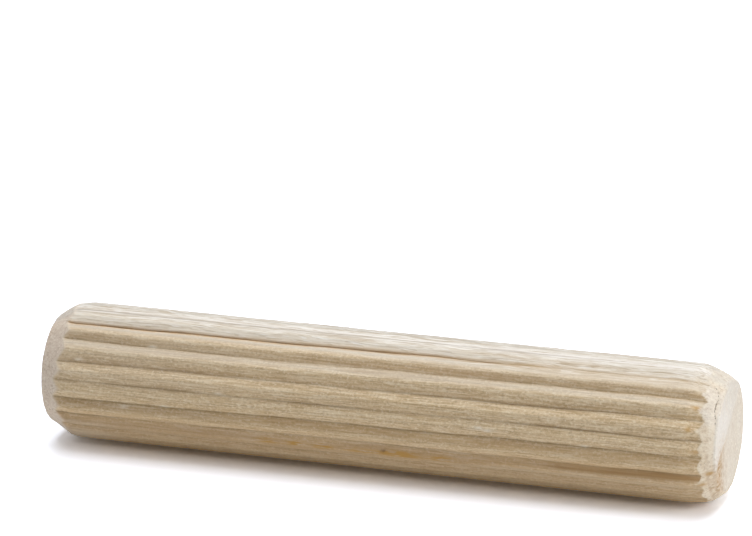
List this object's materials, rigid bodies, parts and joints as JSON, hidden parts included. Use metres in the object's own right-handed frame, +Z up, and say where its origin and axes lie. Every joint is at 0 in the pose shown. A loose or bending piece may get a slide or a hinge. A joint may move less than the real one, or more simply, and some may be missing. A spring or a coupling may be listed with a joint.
{
  "type": "dowel pin",
  "caption": "Straight fluted hardwood dowel pin with a chamfer at both ends, glued into facing holes to join two wooden parts.",
  "frame": {"origin": "on the surface that the pin lies on, below the middle of its axis", "axes": "+X along the pin's axis, +Z up from the surface it lies on, +Y across it"},
  "size_m": [0.04, 0.0078, 0.0079],
  "materials": {
    "bare_wood": "bare turned beech, unfinished, pale, with rough end grain"
  },
  "bodies": {
    "root": {"dowel_pin": "bare_wood"}
  },
  "joints": []
}
